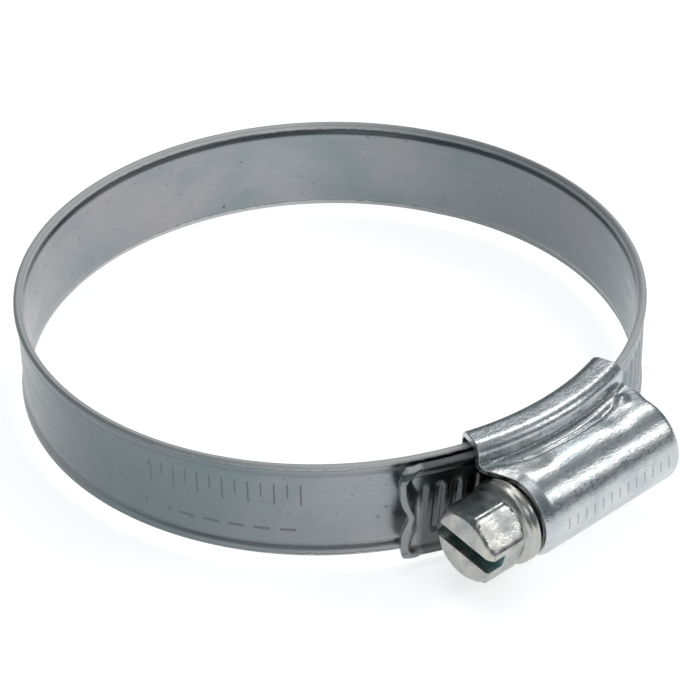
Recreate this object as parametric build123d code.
"""Worm-drive hose clamp, 45 to 60 mm, drawn fully open at 60 mm.

Frame: origin at the centre of the clamped bore, +Z along the bore axis, the
screw housing on the -Y side with its screw along X and the hexagon head
towards -X. Millimetres.

The real clamp is three pieces: one strip band, one housing pressed from a
single sheet, and one worm screw. The band bends as it is tightened, so here
it is a fixed end, a row of short spans and a stiff threaded end.
"""
import os

from build123d import *
from math import atan2, ceil, cos, degrees, pi, radians, sin, sqrt, tan

# ---- driving dimensions -------------------------------------------------
BORE_R = 30.0            # inner face of the band with the clamp fully open
BAND_W = 10.4            # band width
BAND_T = 0.8             # band thickness
RIM_RISE = 0.25          # how far each long edge of the band is turned out
RIM_W = 1.3              # width of that turned-out edge

FEED_Y = -1.0            # centre that the threaded end slides around
THREADED_R = 30.45       # inner face of the threaded end about that centre
THREADED_FROM = -120.0   # free end of the tail, degrees
THREADED_TO = 21.7       # where the threaded end meets the spans, degrees
STOP_LIP = 1.0           # height of the folded stop at the free end

PITCH = 1.8              # screw pitch
WORM_R = 3.5             # crest radius of the worm
WORM_ROOT_R = 2.95
WORM_FROM, WORM_TO = -6.3, 6.3
CREST_W = 0.45           # width of the thread crest
NECK_R = 3.3
TAIL_R = 2.0
THREAD_BITE = 0.38       # depth of the crest below the band's outer face
GROOVE_DEPTH = 0.45
GROOVE_W = 1.05
GROOVE_LEN = 6.2         # across the band
GROOVES_FROM, GROOVES_TO = -114.0, 6.0

HOUSING_HALF = 16.8      # half the angle that the housing covers, degrees
LEG_T = 0.6              # housing leg inside the band
SHEET = 0.8              # housing sheet elsewhere
CHANNEL_H = 5.8          # inner half height of the housing channel
RIM_PLAY = 0.15          # play over the turned-out edges in the channel
BARREL_R = 4.4
BARREL_FROM, BARREL_TO = -8.0, 9.6
WINDOW_HALF = 2.9        # opening between the barrel and the channel
WINDOW_TO_Y = -31.1

HEX_AF = 6.8             # across the flats of the head
HEAD_FROM = -14.6        # front face of the head
HEAD_TO = -10.2
COLLAR_R = 4.1
COLLAR_FROM, COLLAR_TO = -9.8, -8.6
SLOT_W, SLOT_DEPTH = 1.4, 1.8
HEAD_TURN = -12.0        # rest turn of the hexagon about the screw axis
SLOT_TURN = 7.0          # rest turn of the slot, which isn't cut from corner to corner

SPANS = 24               # stretches that stand for the bending part of the band
SPAN_FROM, SPAN_TO = -118.0, -340.0
SPAN_GAP = 0.1           # gap between neighbouring spans

# ---- sizes that follow --------------------------------------------------
FEED_CENTRE = Vector(0, FEED_Y)
THREADED_OUT = THREADED_R + BAND_T
FIXED_R = THREADED_R - BAND_T - 0.08
LEG_R = FIXED_R - LEG_T
CHANNEL_OUT = THREADED_OUT + RIM_RISE + RIM_PLAY
PITCH_R = THREADED_OUT - 0.25
SCREW_Y = FEED_Y - (THREADED_OUT - THREAD_BITE + WORM_R)
BARREL_BORE = WORM_R + 0.15
LEAD = atan2(PITCH, 2 * pi * (WORM_R - THREAD_BITE / 2))
GROOVE_STEP = degrees(PITCH / PITCH_R)


def unit(angle):
    """Unit vector at an angle in the XY plane, degrees."""
    return Vector(cos(radians(angle)), sin(radians(angle)))


def band_section(radius):
    """The band's cross-section, a flat strip with both edges turned out."""
    half = BAND_W / 2
    inner = [(RIM_RISE, -half), (0, RIM_W - half), (0, half - RIM_W), (RIM_RISE, half)]
    outer = [(rise + BAND_T, z) for rise, z in reversed(inner)]
    points = [(radius + rise, 0, z) for rise, z in inner + outer]
    return make_face(Polyline(*points, close=True))


def turned(section, centre, start, end):
    """A section in the XZ plane, turned about an upright axis at centre."""
    solid = revolve(section.rotate(Axis.Z, start), Axis.Z, end - start)
    return Pos(centre.X, centre.Y, 0) * solid


def ring_box(inner, outer, half, corner=0.0):
    """A rectangle in the XZ plane between two radii, with rounded corners."""
    middle = (inner + outer) / 2
    outline = Rectangle(outer - inner, 2 * half)
    if corner:
        outline = fillet(outline.vertices(), corner)
    return Pos(middle, 0, 0) * Rot(90, 0, 0) * outline


def span_angle(k):
    """Angle of the joint before span k; spans shorten towards the thread."""
    u = k / SPANS
    return SPAN_FROM + (SPAN_TO - SPAN_FROM) * (1.5 * u - 0.5 * u * u)


def band_span(k):
    """One stretch of plain band on the bore circle."""
    gap = degrees(SPAN_GAP / BORE_R)
    return turned(band_section(BORE_R), Vector(0, 0), span_angle(k + 1), span_angle(k) - gap)


def band_fixed_end():
    """The end held in the housing, with the step out to the bore circle."""
    last = -90 - HOUSING_HALF - 0.6
    held = turned(band_section(FIXED_R), FEED_CENTRE, last, -90 + HOUSING_HALF - 3)
    start = FEED_CENTRE + unit(last) * FIXED_R
    end = unit(SPAN_FROM) * BORE_R
    chord = end - start
    inward = Vector(-chord.Y, chord.X).normalized() * -1
    centre = (start + end) / 2 + inward * sqrt(BORE_R**2 - (chord.length / 2) ** 2)
    first_angle, last_angle = (
        degrees(atan2(point.Y - centre.Y, point.X - centre.X)) for point in (end, start)
    )
    step = turned(band_section(BORE_R), centre, first_angle, last_angle + 0.4)
    return held + step


def groove(angle):
    """A slanted slot cutter at an angle on the threaded end."""
    cutter = Box(2 * GROOVE_DEPTH, GROOVE_W, GROOVE_LEN)
    cutter = cutter.rotate(Axis.X, -degrees(LEAD))
    return Pos(0, FEED_Y, 0) * Rot(0, 0, angle) * Pos(THREADED_OUT, 0, 0) * cutter


def band_threaded_end():
    """The stiff free end: the tail, the thread grooves and the stop."""
    strip = turned(band_section(THREADED_R), FEED_CENTRE, THREADED_FROM, THREADED_TO)
    lip_box = ring_box(THREADED_R, THREADED_OUT + STOP_LIP, BAND_W / 2)
    strip += turned(lip_box, FEED_CENTRE, THREADED_FROM, THREADED_FROM + 1.6)
    first = ceil((GROOVES_FROM + 90) / GROOVE_STEP)
    last = int((GROOVES_TO + 90) / GROOVE_STEP)
    for i in range(first, last + 1):
        strip -= groove(-90 + i * GROOVE_STEP)
    return strip


def along_screw(start, end, radius):
    """A cylinder on the screw axis between two x positions."""
    return Pos((start + end) / 2, SCREW_Y, 0) * Rot(0, 90, 0) * Cylinder(radius, end - start)


def housing():
    """One pressed sheet: a channel round the band and a barrel on the screw."""
    low, high = -90 - HOUSING_HALF, -90 + HOUSING_HALF
    height = CHANNEL_H + SHEET
    shell = turned(ring_box(LEG_R, CHANNEL_OUT + SHEET, height, 1.3), FEED_CENTRE, low, high)
    barrel = along_screw(BARREL_FROM, BARREL_TO, BARREL_R)
    rims = barrel.edges().filter_by(GeomType.CIRCLE).sort_by(Axis.X)
    barrel = chamfer(rims[0], 0.9, 0.3)
    rear = barrel.edges().filter_by(GeomType.CIRCLE).sort_by(Axis.X)[-1]
    barrel = fillet(rear, 0.7)
    flare_points = [
        (FEED_Y - CHANNEL_OUT * 0.97, height - 1.2),
        (SCREW_Y + 1.6, BARREL_R * 0.93),
        (SCREW_Y + 1.6, -BARREL_R * 0.93),
        (FEED_Y - CHANNEL_OUT * 0.97, 1.2 - height),
    ]
    flare_face = make_face(Polyline(*[(BARREL_FROM, y, z) for y, z in flare_points], close=True))
    flare = extrude(flare_face, BARREL_TO - 0.6 - BARREL_FROM, dir=(1, 0, 0))
    shell = shell + barrel + flare

    passage = ring_box(FIXED_R, CHANNEL_OUT, CHANNEL_H, 0.5)
    shell -= turned(passage, FEED_CENTRE, low - 8, high + 8)
    shell -= along_screw(BARREL_FROM - 1, BARREL_TO - SHEET, BARREL_BORE)
    shell -= along_screw(BARREL_TO - 2, BARREL_TO + 1, TAIL_R + 0.08)
    window_from, window_to = BARREL_FROM - 4, BARREL_TO - SHEET
    window_depth = WINDOW_TO_Y - SCREW_Y
    window = Box(window_to - window_from, window_depth, 2 * WINDOW_HALF)
    shell -= Pos((window_from + window_to) / 2, SCREW_Y + window_depth / 2, 0) * window
    return shell


def worm_thread():
    """The right-hand thread, a trapezoid swept along a helix."""
    height = WORM_TO - WORM_FROM
    foot = CREST_W / 2 + (WORM_R - WORM_ROOT_R + 0.1) * tan(radians(20))
    helix = Helix(PITCH, height, WORM_ROOT_R)
    profile = [
        (WORM_ROOT_R - 0.1, -foot),
        (WORM_R, -CREST_W / 2),
        (WORM_R, CREST_W / 2),
        (WORM_ROOT_R - 0.1, foot),
    ]
    section = make_face(Polyline(*[(r, 0, z) for r, z in profile], close=True))
    return sweep(section, helix, is_frenet=True)


def worm_screw():
    """Hexagon head with a slot, collar, worm and tail, on the screw axis."""
    head = Pos(0, 0, HEAD_FROM) * extrude(RegularPolygon(HEX_AF / 2, 6, major_radius=False), HEAD_TO - HEAD_FROM)
    crown = Pos(0, 0, HEAD_FROM) * Cone(HEX_AF / 2, HEX_AF, 4.0, align=(Align.CENTER, Align.CENTER, Align.MIN))
    crown += Pos(0, 0, HEAD_FROM + 3.9) * Cylinder(HEX_AF, 3, align=(Align.CENTER, Align.CENTER, Align.MIN))
    head = head & crown
    slot = Pos(0, 0, HEAD_FROM) * Box(2 * HEX_AF, SLOT_W, 2 * SLOT_DEPTH)
    head = Rot(0, 0, HEAD_TURN) * head - Rot(0, 0, SLOT_TURN) * slot

    steps = [
        (HEAD_TO, HEX_AF / 2),
        (COLLAR_FROM, COLLAR_R),
        (COLLAR_TO, COLLAR_R),
        (COLLAR_TO, NECK_R),
        (WORM_FROM - 0.6, NECK_R),
        (WORM_FROM - 0.6, WORM_ROOT_R),
        (WORM_TO + 0.6, WORM_ROOT_R),
        (WORM_TO + 0.6, TAIL_R),
        (BARREL_TO - 0.1, TAIL_R),
    ]
    outline = [(0, HEAD_TO)] + [(r, x) for x, r in steps] + [(0, BARREL_TO - 0.1)]
    shaft = revolve(make_face(Polyline(*[(r, 0, x) for r, x in outline], close=True)), Axis.Z)
    phase = 360 * ((0 - WORM_FROM) / PITCH % 1)
    thread = Pos(0, 0, WORM_FROM) * Rot(0, 0, -phase) * worm_thread()
    screw = head + shaft + thread
    # local Z runs along the row's +X and local X points at the band
    return Plane(origin=(0, SCREW_Y, 0), x_dir=(0, 1, 0), z_dir=(1, 0, 0)) * screw


def main():
    os.makedirs("parts", exist_ok=True)
    nodes = {
        "housing": housing(),
        "worm_screw": worm_screw(),
        "band_fixed_end": band_fixed_end(),
        "band_threaded_end": band_threaded_end(),
    }
    for k in range(SPANS):
        nodes[f"band_span_{k + 1:02d}"] = band_span(k)
    for name, shape in nodes.items():
        solids = shape.solids()
        export_step(solids[0] if len(solids) == 1 else shape, f"parts/{name}.step")
        box = shape.bounding_box()
        print(name, len(solids), round(shape.volume, 2), box.min, box.max)


main()
